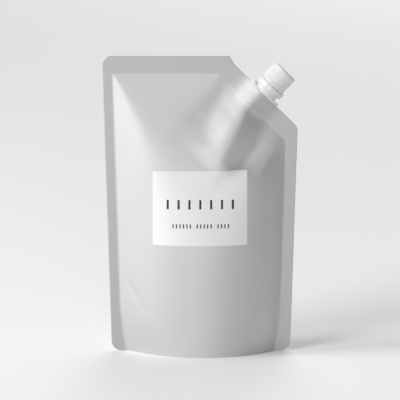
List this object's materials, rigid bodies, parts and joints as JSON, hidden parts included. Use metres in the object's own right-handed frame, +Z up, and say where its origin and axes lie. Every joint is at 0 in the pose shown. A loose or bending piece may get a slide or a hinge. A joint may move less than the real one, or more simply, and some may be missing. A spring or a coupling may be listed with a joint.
{
  "type": "hand soap refill pack",
  "caption": "Stand-up soap refill pouch with a gusseted base, a slanted corner spout with a ribbed screw cap and tamper ring, and a plain front label.",
  "frame": {"origin": "middle of the base, on the surface the pack stands on", "axes": "+Z up, the labelled front faces -Y, +X towards the corner with the spout"},
  "size_m": [0.1479, 0.0522, 0.2283],
  "materials": {
    "film": "satin grey laminate film",
    "paper": "matte white coated paper",
    "spout_plastic": "satin white moulded polyethylene",
    "cap_plastic": "satin white moulded polyethylene"
  },
  "bodies": {
    "pack": {"pouch": "film", "label": "paper", "spout": "spout_plastic"},
    "band": {"tamper_band": "cap_plastic"},
    "cap": {"cap": "cap_plastic"}
  },
  "joints": [
    {"name": "cap_turn", "type": "hinge", "parent": "pack", "child": "band", "pos_m": [0.0471, 0, 0.2001], "axis": [0.7071, 0, 0.7071], "range_deg": [0, 900]},
    {"name": "cap_lift", "type": "slide", "parent": "band", "child": "cap", "axis": [0.7071, 0, 0.7071], "range_m": [0, 0.0075]}
  ],
  "couplings": [
    {"joint": "cap_lift", "follows": "cap_turn", "m_per_rad": 0.00047746}
  ]
}
